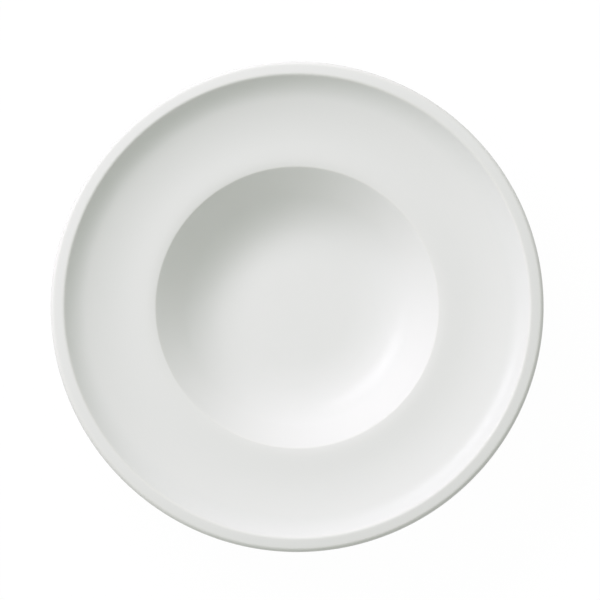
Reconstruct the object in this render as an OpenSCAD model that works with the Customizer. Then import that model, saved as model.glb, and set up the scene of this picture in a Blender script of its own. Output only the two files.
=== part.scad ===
// White porcelain pasta bowl: a round well, a wide brim and a raised lip, on a foot ring.
// Each piece is one outline turned about the vertical axis. The bowl stands on z = 0.

/* [Well] */
// Diameter of the crisp edge between the well and the brim
well_d = 173; // [150:1:195]
// Depth of the well below that edge
well_depth = 24.5; // [18:0.5:32]
// Slope of the well's wall, in degrees
wall_slope = 39; // [30:1:50]
// Slope of the gently rising band between the level floor and the wall, in degrees
floor_slope = 7.5; // [4:0.5:14]
// How far the gentle rise starts inside the foot of the wall
floor_lead = 18; // [10:0.5:26]
// Rounding where the level floor starts to rise
floor_round = 103; // [60:1:180]
// Rounding where the floor turns up into the wall
wall_round = 50; // [20:1:60]
// Rounding of the well's edge
well_edge_round = 2.2; // [0.8:0.1:4]

/* [Brim] */
// Slope of the narrow band beside the well's edge, in degrees
edge_band_slope = 8; // [6.5:0.5:14]
// Width of that band
edge_band_w = 4.1; // [2:0.1:8]
// Rounding where the band runs out into the brim
edge_band_round = 36; // [10:1:60]
// Slope of the brim outside that band, in degrees
brim_slope = 1.8; // [1:0.1:6]
// Slope of the band in which the brim begins to curve up, in degrees
brim_band_slope = 16; // [10:0.5:22]
// Slope of the brim just below the lip, in degrees
upstand_slope = 44; // [32:1:55]
// How far the curve begins inside the foot of the upstand
brim_lead = 15.4; // [8:0.2:22]
// Rounding where the brim begins to curve up
brim_round = 113; // [60:1:160]
// Rounding where the brim turns up towards the lip
upstand_round = 28; // [15:1:50]

/* [Lip] */
// Outer diameter of the bowl
bowl_d = 300; // [270:1:330]
// Width of the lip's top, with the rounding of its outer edge
lip_w = 8.2; // [5:0.1:10]
// Height of the lip's inner edge above the well's edge
lip_rise = 13.4; // [10:0.2:20]
// Outward fall of the lip's top, in degrees
lip_fall = 4; // [0:0.5:12]
// Height of the lip's outer side
lip_side = 4.5; // [3:0.5:8]
// Rounding of the lip's inner edge
lip_in_round = 2.5; // [0.4:0.1:3]
// Rounding of the lip's outer edge
lip_out_round = 2.9; // [1:0.1:4]
// Rounding under the lip
lip_under_round = 2.3; // [1:0.1:4]

/* [Underside] */
// Thickness of the well's wall
wall_t = 5; // [4:0.1:7]
// Thickness of the brim
brim_t = 4.8; // [4:0.1:7]
// Thickness of the base in the middle
base_t = 5.5; // [4:0.1:8]
// Least thickness where the brim turns up towards the lip, before rounding
upstand_t = 4.3; // [3:0.1:7]
// Least slope of the underside between the lip and the brim, in degrees
under_lip_slope = 21; // [15:1:32]
// Rounding where the underside of the lip runs into the brim's underside
under_brim_round = 70; // [20:5:100]
// Rounding where the brim's underside turns down the outside of the well
heel_round = 10; // [4:1:20]
// Rounding where the outside of the well turns in to the foot ring
wall_foot_round = 20; // [5:1:30]

/* [Foot ring] */
// How far the ring stands inside the foot of the outer wall
foot_setback = 8; // [3:0.5:16]
// Width of the ring at the bottom
foot_w = 5; // [4.4:0.1:8]
// Lean of the ring's outer side, in degrees
foot_draft = 8; // [2:1:20]
// Lean of the ring's inner side, in degrees
recess_draft = 14; // [2:1:30]
// Rounding where the ring grows out of the wall
foot_root_round = 2.8; // [1:0.1:6]
// Rounding of the ring's bare edge, on both sides
foot_edge_round = 1; // [0.5:0.1:1.4]
// Height of the base above the table, in the middle
recess_depth = 4; // [3:0.1:7]
// How much lower the base lies next to the ring
recess_sag = 0.6; // [0.2:0.1:1]
// Diameter of the level middle of the base
recess_level_d = 44; // [20:1:60]
// Rounding where the base meets the ring
recess_round = 2; // [1:0.1:4]
// Rounding where the base becomes level
recess_level_round = 150; // [50:10:300]

/* [Glaze] */
// Thickness of the glaze
glaze_t = 0.3; // [0.2:0.05:0.5]
// Height at which the glaze ends on both sides of the ring
glaze_line = 1.6; // [1.2:0.1:2.2]

/* [Hidden] */
// Greatest distance between a rounding and the straights that stand for it
curve_tolerance = 0.008;
// Sides of a turned piece where it is drawn as a mesh
sides_around = 240;
// Slopes of a level and of an upright line, and a full turn, in degrees
level = 0;
upright = 90;
full_turn = 360;

// Points of the glazed surface, as [distance from the axis, height]
floor_centre = [0, recess_depth + base_t];
well_edge = [well_d / 2, floor_centre.y + well_depth];
brim_start = well_edge + edge_band_w * [1, tan(edge_band_slope)];
lip_edge = [bowl_d / 2 - lip_w, well_edge.y + lip_rise];
lip_out_top = lip_edge + lip_w * [1, -tan(lip_fall)];
lip_out_bottom = lip_out_top - [0, lip_side];
well_turn = soft_turn(
    floor_centre, level, well_edge, wall_slope, floor_slope, floor_lead, floor_round, wall_round
);
brim_turn = soft_turn(
    brim_start, brim_slope, lip_edge, upstand_slope, brim_band_slope, brim_lead, brim_round, upstand_round
);
wall_outside = beside(well_edge, wall_slope, wall_t);
brim_underside = beside(brim_start, brim_slope, brim_t);
upstand_underside = beside(brim_turn[1][0], brim_band_slope, upstand_t);
under_lip = max(under_lip_slope, slope_between(upstand_underside, lip_out_bottom));
under_brim = meet(lip_out_bottom, under_lip, brim_underside, brim_slope);
heel = meet(brim_underside, brim_slope, wall_outside, wall_slope);
base_underside = beside(well_turn[0][0], floor_slope, base_t);
wall_foot = meet(wall_outside, wall_slope, base_underside, floor_slope);
foot_out = [wall_foot.x - foot_setback, 0];
foot_in = foot_out - [foot_w, 0];
foot_root = meet(base_underside, floor_slope, foot_out, upright - foot_draft);
glaze_end_out = meet([0, glaze_line], level, foot_out, upright - foot_draft);
glaze_end_in = meet([0, glaze_line], level, foot_in, upright + recess_draft);
recess_corner = meet([0, recess_depth - recess_sag], level, foot_in, upright + recess_draft);
recess_middle = [0, recess_depth];
recess_level_edge = recess_middle + [recess_level_d / 2, 0];

// The glazed surface from the middle of the well, over the lip and down to the foot ring
coat = rounded(concat(
    [corner(floor_centre)],
    well_turn,
    [corner(well_edge, well_edge_round), corner(brim_start, edge_band_round)],
    brim_turn,
    [
        corner(lip_edge, lip_in_round),
        corner(lip_out_top, lip_out_round),
        corner(lip_out_bottom, lip_under_round),
        corner(under_brim, under_brim_round),
        corner(heel, heel_round),
        corner(wall_foot, wall_foot_round),
        corner(foot_root, foot_root_round),
        corner(glaze_end_out)
    ]
));

// The glazed surface inside the foot ring, from the ring to the middle of the base
recess = rounded([
    corner(glaze_end_in),
    corner(recess_corner, recess_round),
    corner(recess_level_edge, recess_level_round),
    corner(recess_middle)
]);

// The bare edge of the ring, between the two glazed surfaces
bare_out = beside(foot_out, upright - foot_draft, -glaze_t);
bare_in = beside(foot_in, upright + recess_draft, glaze_t);
coat_end = inset(coat, glaze_t)[len(coat) - 1];
recess_start = inset(recess, glaze_t)[0];
bare_edge = rounded([
    corner(coat_end),
    corner(meet([0, 0], level, bare_out, upright - foot_draft), foot_edge_round),
    corner(meet([0, 0], level, bare_in, upright + recess_draft), foot_edge_round),
    corner(recess_start)
]);

// A point moved square to a slope, to the right of someone who walks up it
function beside(point, slope, distance) = point + distance * [sin(slope), -cos(slope)];

// Slope of the line from one point to another
function slope_between(a, b) = atan2(b.y - a.y, b.x - a.x);

// The point where two sloping lines cross
function meet(a, slope_a, b, slope_b) =
    let (
        way_a = [cos(slope_a), sin(slope_a)],
        way_b = [cos(slope_b), sin(slope_b)],
        gap = b - a
    )
    a + way_a * cross(gap, way_b) / cross(way_a, way_b);

// A corner of an outline: its place and its rounding
function corner(point, radius = 0) = [point, radius];

// Two corners that turn line a into line b by way of a band of middling slope
function soft_turn(a, slope_a, b, slope_b, band_slope, lead, first_round, second_round) =
    let (
        first = meet(a, slope_a, b, slope_b) - lead * [cos(slope_a), sin(slope_a)],
        second = meet(first, band_slope, b, slope_b)
    )
    [corner(first, first_round), corner(second, second_round)];

// Direction of the straight that leaves corner i, and its length
function heading(corners, i) = slope_between(corners[i][0], corners[i + 1][0]);
function straight(corners, i) = norm(corners[i + 1][0] - corners[i][0]);

// Angle by which the outline turns at corner i, positive to the left
function swing(corners, i) =
    let (turn = heading(corners, i) - heading(corners, i - 1))
    turn - full_turn * round(turn / full_turn);

// Length that the rounding of corner i asks of the straights beside it
function reach(corners, i) = corners[i][1] == 0 ? 0 : corners[i][1] * tan(abs(swing(corners, i)) / 2);

// Share of its roundings' reach that straight i has room for
function room_share(corners, i) =
    let (asked = reach(corners, i) + reach(corners, i + 1))
    asked == 0 ? 1 : min(1, straight(corners, i) / asked);

// The rounding of corner i, as points each with the direction that faces out of the piece
function bend(corners, i) =
    let (
        start_heading = heading(corners, i - 1),
        turn = swing(corners, i),
        side = sign(turn),
        room = reach(corners, i) * min(room_share(corners, i - 1), room_share(corners, i)),
        radius = room / tan(abs(turn) / 2),
        start = corners[i][0] - room * [cos(start_heading), sin(start_heading)],
        centre = start + side * radius * facing(start_heading),
        steps = ceil(abs(turn) / (2 * acos(1 - curve_tolerance / radius)))
    )
    [
        for (k = [0:steps])
            let (out = facing(start_heading + turn * k / steps))
            [centre - side * radius * out, out]
    ];

// The direction to the left of a heading, which is out of the piece all along its outline
function facing(direction) = [-sin(direction), cos(direction)];

// An outline with its roundings, as points each with the direction that faces out of the piece
function rounded(corners) =
    let (last = len(corners) - 1)
    [
        [corners[0][0], facing(heading(corners, 0))],
        for (i = [1:last - 1]) each bend(corners, i),
        [corners[last][0], facing(heading(corners, last - 1))]
    ];

// The places of an outline's points, the same places moved into the piece, and a list turned round
function places(outline) = [for (point = outline) point[0]];
function inset(outline, depth) = [for (point = outline) point[0] - depth * point[1]];
function reversed(list) = [for (i = [len(list) - 1:-1:0]) list[i]];

module turned(points) {
    rotate_extrude($fn = sides_around) polygon(points);
}

// The fired porcelain, bare on the ring's lower edge
module porcelain_body() {
    color("seashell") turned(concat(inset(coat, glaze_t), places(bare_edge), inset(recess, glaze_t)));
}

// The glaze over the well, the brim, the lip and the outside
module glaze_coat() {
    color("whitesmoke") turned(concat(places(coat), reversed(inset(coat, glaze_t))));
}

// The glaze on the base inside the foot ring
module foot_recess_glaze() {
    color("ghostwhite") turned(concat(places(recess), reversed(inset(recess, glaze_t))));
}

porcelain_body();
glaze_coat();
foot_recess_glaze();
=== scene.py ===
import bmesh
import bpy
import math
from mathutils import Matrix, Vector


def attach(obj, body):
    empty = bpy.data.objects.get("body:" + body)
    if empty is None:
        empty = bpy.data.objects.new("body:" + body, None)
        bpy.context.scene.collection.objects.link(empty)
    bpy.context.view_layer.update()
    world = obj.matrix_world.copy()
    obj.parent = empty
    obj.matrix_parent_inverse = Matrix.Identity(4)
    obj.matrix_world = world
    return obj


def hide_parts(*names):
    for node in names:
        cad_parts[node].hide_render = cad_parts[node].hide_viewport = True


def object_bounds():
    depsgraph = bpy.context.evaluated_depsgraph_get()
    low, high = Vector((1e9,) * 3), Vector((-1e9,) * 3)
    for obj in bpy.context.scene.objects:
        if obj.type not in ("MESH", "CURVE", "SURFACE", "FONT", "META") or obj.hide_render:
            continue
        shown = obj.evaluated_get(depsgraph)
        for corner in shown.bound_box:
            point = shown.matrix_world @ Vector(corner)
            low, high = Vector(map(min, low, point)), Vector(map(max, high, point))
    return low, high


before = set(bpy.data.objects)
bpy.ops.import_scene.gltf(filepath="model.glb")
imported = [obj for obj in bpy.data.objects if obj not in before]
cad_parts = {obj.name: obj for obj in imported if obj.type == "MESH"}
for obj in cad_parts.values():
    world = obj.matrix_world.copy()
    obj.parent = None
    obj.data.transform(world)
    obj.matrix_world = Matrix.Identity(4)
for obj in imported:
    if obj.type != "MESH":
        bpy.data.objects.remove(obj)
cad_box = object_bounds()

# The photograph's frame, in pixels
IMAGE_SIDE = 600
BOWL_CENTRE_PX = (297.13, 304.66)
FOCAL_PX = 3786

# The camera, in degrees and metres
CAMERA_ELEVATION = 84.05
CAMERA_DISTANCE = 2.3
SENSOR_MM = 36

# The studio, in degrees, metres and watts
LAMP_DISTANCE = 3.0
KEY_DIRECTION = (57, 131.5)
KEY_SIZE = (2.5, 0.82)
KEY_POWER = 75
KEY_COLOUR = (0.96, 0.918, 1.0)
SHEEN_DIRECTION = (59, 143)
SHEEN_SIZE = (4.1, 2.1)
SHEEN_POWER = 32
SKY_COLOUR = (0.953, 1.0, 0.924)
SKY_OVERHEAD = 0.562
SKY_SIDES = 0.56
FLOOR_SIDE = 16
FLOOR_REFLECTANCE = 0.6
BACKDROP_WHITE = 1.03
BACKDROP_SHARE = 0.95

# The turned meshes, in metres
TURN_STEPS = 192
OUTLINE_STEP = 0.002
SAME_PLACE = 1e-6
SHARP_ANGLE = math.radians(40)
# The bend at which the glaze is half way to its thinnest or thickest, in 1/metre
HALF_POOLED_BEND = 100

# The finishes: base colours, roughness, and heights of bumps in metres
PORCELAIN_IOR = 1.5
GLAZE_EVEN = (0.84, 0.84, 0.83)
GLAZE_THIN = (0.85, 0.846, 0.828)
GLAZE_POOLED = (0.815, 0.825, 0.815)
GLAZE_UNEVENNESS = 0.15
GLAZE_ROUGHNESS = (0.09, 0.12)
GLAZE_WAVE_HEIGHT = 0.00002
BARE_CLEAN = (0.83, 0.81, 0.77)
BARE_WORN = (0.66, 0.64, 0.61)
BARE_ROUGHNESS = (0.55, 0.75)
BARE_GRAIN_HEIGHT = 0.00004

# Scales of the noise that varies the finishes, in 1/metre
GLAZE_CLOUDS = 24
GLAZE_SMUDGES = 60
GLAZE_WAVES = 110
BARE_WEAR = 160
BARE_GRAIN = 3000


def seam_outline(name):
    """The half outline of a turned CAD node: (radius, height) points along the seam of its mesh."""
    bm = bmesh.new()
    bm.from_mesh(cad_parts[name].data)
    bmesh.ops.remove_doubles(bm, verts=bm.verts, dist=SAME_PLACE)
    left = {v for v in bm.verts if abs(v.co.y) < SAME_PLACE and v.co.x > SAME_PLACE}

    def ahead(vertex):
        return [e.other_vert(vertex) for e in vertex.link_edges if e.other_vert(vertex) in left]

    ends = [v for v in left if len(ahead(v)) == 1]
    here = max(ends, key=lambda v: v.co.z)
    outline = []
    while here:
        outline.append((here.co.x, here.co.z))
        left.discard(here)
        here = next(iter(ahead(here)), None)
    bm.free()
    return [(0.0, outline[0][1])] + outline + [(0.0, outline[-1][1])]


def in_short_steps(outline):
    """The outline with its long straights cut into even steps."""
    points = [outline[0]]
    for (r0, z0), (r1, z1) in zip(outline, outline[1:]):
        steps = math.ceil(math.dist((r0, z0), (r1, z1)) / OUTLINE_STEP)
        points += [(r0 + (r1 - r0) * k / steps, z0 + (z1 - z0) * k / steps) for k in range(1, steps + 1)]
    return points


def pooling(points, i):
    """How glaze gathers at a point of the outline: from -1 on a sharp edge to 1 in a sharp hollow."""
    if i in (0, len(points) - 1):
        return 0.0
    before = Vector(points[i]) - Vector(points[i - 1])
    after = Vector(points[i + 1]) - Vector(points[i])
    bend = -before.angle_signed(after) / ((before.length + after.length) / 2)
    return bend / (abs(bend) + HALF_POOLED_BEND)


def turned(name, node, material):
    """A smooth closed mesh, turned about the vertical axis, that stands for a CAD node."""
    points = in_short_steps(seam_outline(node))
    bm = bmesh.new()
    layer = bm.verts.layers.float.new("pooling")
    rings = []
    for i, (radius, height) in enumerate(points):
        steps = TURN_STEPS if radius > 0 else 1
        ring = []
        for k in range(steps):
            angle = math.tau * k / steps
            vertex = bm.verts.new((radius * math.cos(angle), radius * math.sin(angle), height))
            vertex[layer] = pooling(points, i)
            ring.append(vertex)
        rings.append(ring)
    for inner, outer in zip(rings, rings[1:]):
        for k in range(TURN_STEPS):
            corners = [
                ring[j % len(ring)]
                for ring, j in ((inner, k), (outer, k), (outer, k + 1), (inner, k + 1))
            ]
            bm.faces.new(dict.fromkeys(corners))
    mesh = bpy.data.meshes.new(name)
    bm.to_mesh(mesh)
    bm.free()
    mesh.materials.append(material)
    mesh.shade_smooth()
    mesh.set_sharp_from_angle(angle=SHARP_ANGLE)
    piece = bpy.data.objects.new(name, mesh)
    bpy.context.scene.collection.objects.link(piece)
    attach(piece, "root")
    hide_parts(node)
    return piece


class Nodes:
    """A small helper that adds shader nodes and links them."""

    def __init__(self, owner):
        owner.use_nodes = True
        self.tree = owner.node_tree
        self.tree.nodes.clear()

    def add(self, kind, inputs=None, **settings):
        node = self.tree.nodes.new(kind)
        for key, value in settings.items():
            setattr(node, key, value)
        for key, value in (inputs or {}).items():
            if isinstance(value, bpy.types.NodeSocket):
                self.tree.links.new(value, node.inputs[key])
            else:
                node.inputs[key].default_value = value
        return node

    def noise(self, place, scale, detail=2.0):
        inputs = {"Vector": place, "Scale": scale, "Detail": detail}
        return self.add("ShaderNodeTexNoise", inputs).outputs["Fac"]

    def computed(self, operation, a, b):
        return self.add("ShaderNodeMath", {0: a, 1: b}, operation=operation).outputs[0]

    def ranged(self, value, low, high, from_low=0.0, from_high=1.0):
        inputs = {
            "Value": value, "From Min": from_low, "From Max": from_high, "To Min": low, "To Max": high,
        }
        return self.add("ShaderNodeMapRange", inputs).outputs["Result"]

    def mixed(self, share, a, b):
        node = self.add("ShaderNodeMix", data_type="RGBA")
        for socket, value in ((node.inputs[0], share), (node.inputs[6], a), (node.inputs[7], b)):
            if isinstance(value, bpy.types.NodeSocket):
                self.tree.links.new(value, socket)
            else:
                socket.default_value = (*value, 1)
        return node.outputs[2]


def glaze_material():
    """Glossy white glaze: a little warmer where it thins over edges, a little cooler where it pools."""
    material = bpy.data.materials.new("white_glaze_finish")
    n = Nodes(material)
    place = n.add("ShaderNodeTexCoord").outputs["Object"]
    gathered = n.add("ShaderNodeAttribute", attribute_name="pooling").outputs["Fac"]
    unevenness = n.ranged(n.noise(place, GLAZE_CLOUDS), -GLAZE_UNEVENNESS, GLAZE_UNEVENNESS)
    drift = n.computed("ADD", gathered, unevenness)
    colour = n.mixed(n.ranged(drift, 0, 1, 0, -1), GLAZE_EVEN, GLAZE_THIN)
    colour = n.mixed(n.ranged(drift, 0, 1, 0, 1), colour, GLAZE_POOLED)
    waves = n.add("ShaderNodeBump", {
        "Strength": 0.25, "Distance": GLAZE_WAVE_HEIGHT, "Height": n.noise(place, GLAZE_WAVES),
    })
    shader = n.add("ShaderNodeBsdfPrincipled", {
        "Base Color": colour,
        "Roughness": n.ranged(n.noise(place, GLAZE_SMUDGES, detail=4), *GLAZE_ROUGHNESS),
        "IOR": PORCELAIN_IOR,
        "Normal": waves.outputs["Normal"],
    })
    n.add("ShaderNodeOutputMaterial", {"Surface": shader.outputs["BSDF"]})
    return material


def bare_porcelain_material():
    """Unglazed fired porcelain, ground smooth: matt, a little warm, with fine grain and faint grey wear."""
    material = bpy.data.materials.new("bare_porcelain_finish")
    n = Nodes(material)
    place = n.add("ShaderNodeTexCoord").outputs["Object"]
    wear = n.ranged(n.noise(place, BARE_WEAR, detail=6), 0, 0.5, from_low=0.5, from_high=0.75)
    grain = n.noise(place, BARE_GRAIN, detail=3)
    bump = n.add("ShaderNodeBump", {"Strength": 0.4, "Distance": BARE_GRAIN_HEIGHT, "Height": grain})
    shader = n.add("ShaderNodeBsdfPrincipled", {
        "Base Color": n.mixed(wear, BARE_CLEAN, BARE_WORN),
        "Roughness": n.ranged(grain, *BARE_ROUGHNESS),
        "IOR": PORCELAIN_IOR,
        "Normal": bump.outputs["Normal"],
    })
    n.add("ShaderNodeOutputMaterial", {"Surface": shader.outputs["BSDF"]})
    return material


def backdrop_rays(n):
    """1 for the rays that see the white background itself: the camera's, and those off or through gloss."""
    path = n.add("ShaderNodeLightPath").outputs
    seen = n.computed("MAXIMUM", path["Is Camera Ray"], path["Is Glossy Ray"])
    return n.computed("MAXIMUM", seen, path["Is Transmission Ray"])


def make_floor():
    half = FLOOR_SIDE / 2
    corners = [(-half, -half, 0), (half, -half, 0), (half, half, 0), (-half, half, 0)]
    mesh = bpy.data.meshes.new("floor")
    mesh.from_pydata(corners, [], [(0, 1, 2, 3)])
    material = bpy.data.materials.new("floor_white")
    n = Nodes(material)
    lit = n.add("ShaderNodeBsdfDiffuse", {"Color": (FLOOR_REFLECTANCE,) * 3 + (1,)})
    white = n.add("ShaderNodeEmission", {"Strength": BACKDROP_WHITE})
    share = n.ranged(backdrop_rays(n), 0, BACKDROP_SHARE)
    both = n.add("ShaderNodeMixShader", {0: share, 1: lit.outputs[0], 2: white.outputs[0]})
    n.add("ShaderNodeOutputMaterial", {"Surface": both.outputs[0]})
    mesh.materials.append(material)
    floor = bpy.data.objects.new("floor", mesh)
    bpy.context.scene.collection.objects.link(floor)


def make_sky():
    """Soft light from overhead and from both sides of the key light's line, and a white background."""
    world = bpy.data.worlds.new("studio")
    n = Nodes(world)
    way = n.add("ShaderNodeTexCoord").outputs["Generated"]
    up = n.add("ShaderNodeSeparateXYZ", {0: way}).outputs["Z"]
    sideways = direction(90, KEY_DIRECTION[1] + 90)
    across = n.add("ShaderNodeVectorMath", {0: way, 1: sideways}, operation="DOT_PRODUCT").outputs["Value"]
    sides = n.computed("MULTIPLY", across, across)
    strength = n.computed("ADD", n.ranged(up, 0, SKY_OVERHEAD), n.ranged(sides, 0, SKY_SIDES))
    light = n.add("ShaderNodeBackground", {"Color": (*SKY_COLOUR, 1), "Strength": strength})
    white = n.add("ShaderNodeBackground", {"Color": (1, 1, 1, 1), "Strength": 1.0})
    both = n.add("ShaderNodeMixShader", {0: backdrop_rays(n), 1: light.outputs[0], 2: white.outputs[0]})
    n.add("ShaderNodeOutputWorld", {"Surface": both.outputs[0]})
    bpy.context.scene.world = world


def direction(zenith, azimuth):
    """A unit vector at that angle from straight up, and that angle round from +X."""
    z, a = math.radians(zenith), math.radians(azimuth)
    return Vector((math.sin(z) * math.cos(a), math.sin(z) * math.sin(a), math.cos(z)))


def place_facing(thing, target, way, distance):
    """Puts a lamp or camera that far from the target, facing it."""
    thing.location = target + way * distance
    thing.rotation_mode = "QUATERNION"
    thing.rotation_quaternion = way.to_track_quat("Z", "Y")
    bpy.context.scene.collection.objects.link(thing)


def make_softbox(name, target, facing, size, power, colour):
    lamp = bpy.data.lights.new(name, "AREA")
    lamp.shape = "RECTANGLE"
    lamp.size, lamp.size_y = size
    lamp.energy = power
    lamp.color = colour
    softbox = bpy.data.objects.new(name, lamp)
    place_facing(softbox, target, direction(*facing), LAMP_DISTANCE)
    return softbox


def fade_to_edges(lamp):
    """Makes a lamp brightest in the middle, with no edge that a glossy surface would show."""
    n = Nodes(lamp)
    across = n.add("ShaderNodeNewGeometry").outputs["Parametric"]
    middle = (0.5, 0.5, 0)
    off_centre = n.add("ShaderNodeVectorMath", {0: across, 1: middle}, operation="DISTANCE")
    glow = n.add("ShaderNodeMapRange", {
        "Value": off_centre.outputs["Value"], "From Min": 0, "From Max": 0.5, "To Min": 1, "To Max": 0,
    }, interpolation_type="SMOOTHSTEP")
    light = n.add("ShaderNodeEmission", {"Strength": glow.outputs["Result"]})
    n.add("ShaderNodeOutputLight", {"Surface": light.outputs[0]})


def make_lamps(target):
    """A key light that shades, and near it a weak, soft one that only gives the glaze its highlights."""
    key = make_softbox("key_light", target, KEY_DIRECTION, KEY_SIZE, KEY_POWER, KEY_COLOUR)
    key.visible_glossy = False
    sheen = make_softbox("sheen_light", target, SHEEN_DIRECTION, SHEEN_SIZE, SHEEN_POWER, KEY_COLOUR)
    sheen.visible_diffuse = False
    fade_to_edges(sheen.data)


def make_camera(target):
    camera = bpy.data.cameras.new("camera")
    camera.sensor_width = SENSOR_MM
    camera.lens = FOCAL_PX * SENSOR_MM / IMAGE_SIDE
    camera.shift_x = 0.5 - BOWL_CENTRE_PX[0] / IMAGE_SIDE
    camera.shift_y = BOWL_CENTRE_PX[1] / IMAGE_SIDE - 0.5
    camera_object = bpy.data.objects.new("camera", camera)
    place_facing(camera_object, target, direction(90 - CAMERA_ELEVATION, -90), CAMERA_DISTANCE)
    bpy.context.scene.camera = camera_object


glaze = glaze_material()
bare = bare_porcelain_material()
turned("glaze_coat_skin", "glaze_coat", glaze)
turned("foot_recess_skin", "foot_recess_glaze", glaze)
turned("porcelain_core", "porcelain_body", bare)

middle_of_lip = Vector((0, 0, cad_box[1].z))
make_floor()
make_sky()
make_lamps(middle_of_lip)
make_camera(middle_of_lip)
bpy.context.scene.view_settings.view_transform = "Standard"
